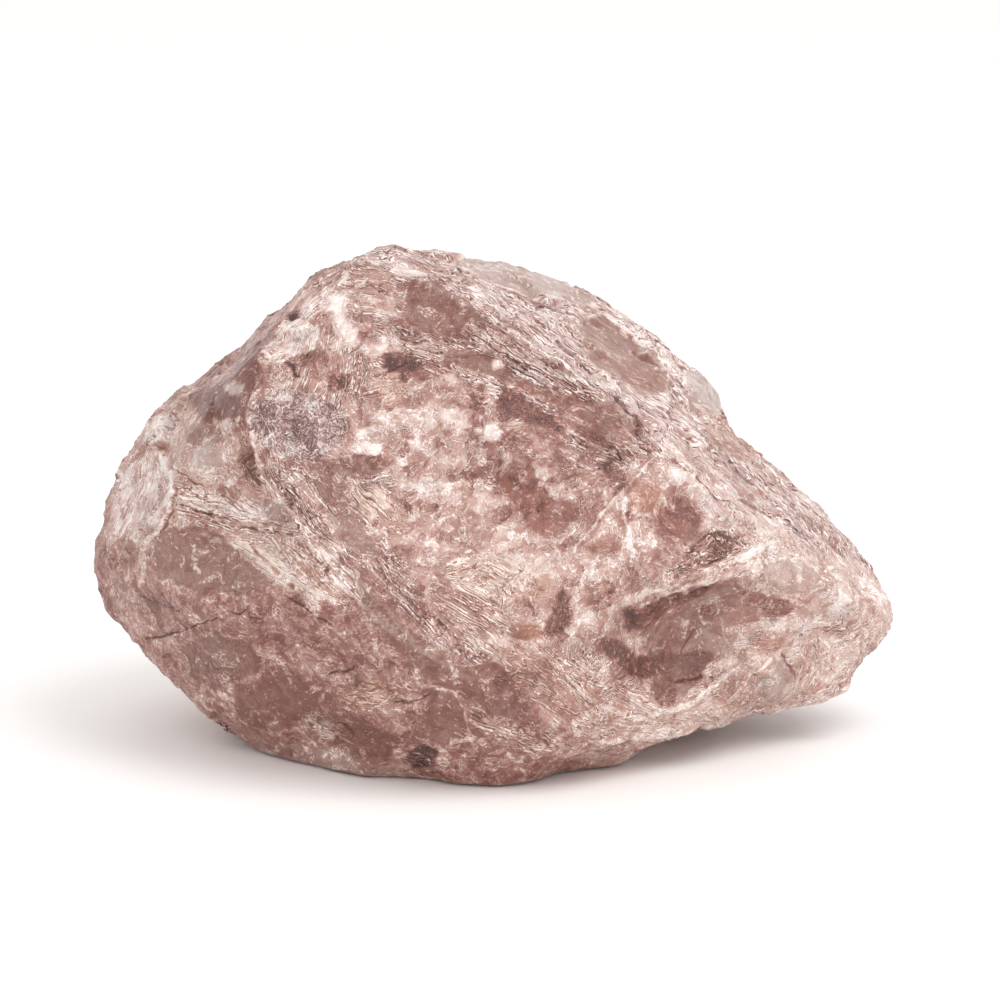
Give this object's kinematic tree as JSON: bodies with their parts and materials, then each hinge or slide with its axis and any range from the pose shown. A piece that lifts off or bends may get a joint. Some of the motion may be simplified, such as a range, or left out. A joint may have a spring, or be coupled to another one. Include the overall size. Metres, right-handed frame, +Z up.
{
  "type": "raw smoky quartz chunk",
  "caption": "Rough broken chunk of smoky quartz crystal, thick at one end and thin at the other, standing on a flat foot.",
  "frame": {"origin": "on the surface that the stone stands on, under the middle of its bounding box", "axes": "+X along its length towards the thin end, +Y away from the broad faceted face, +Z up"},
  "size_m": [0.0927, 0.0602, 0.0563],
  "materials": {
    "smoky_quartz": "satin"
  },
  "bodies": {
    "root": {"stone": "smoky_quartz"}
  },
  "joints": []
}
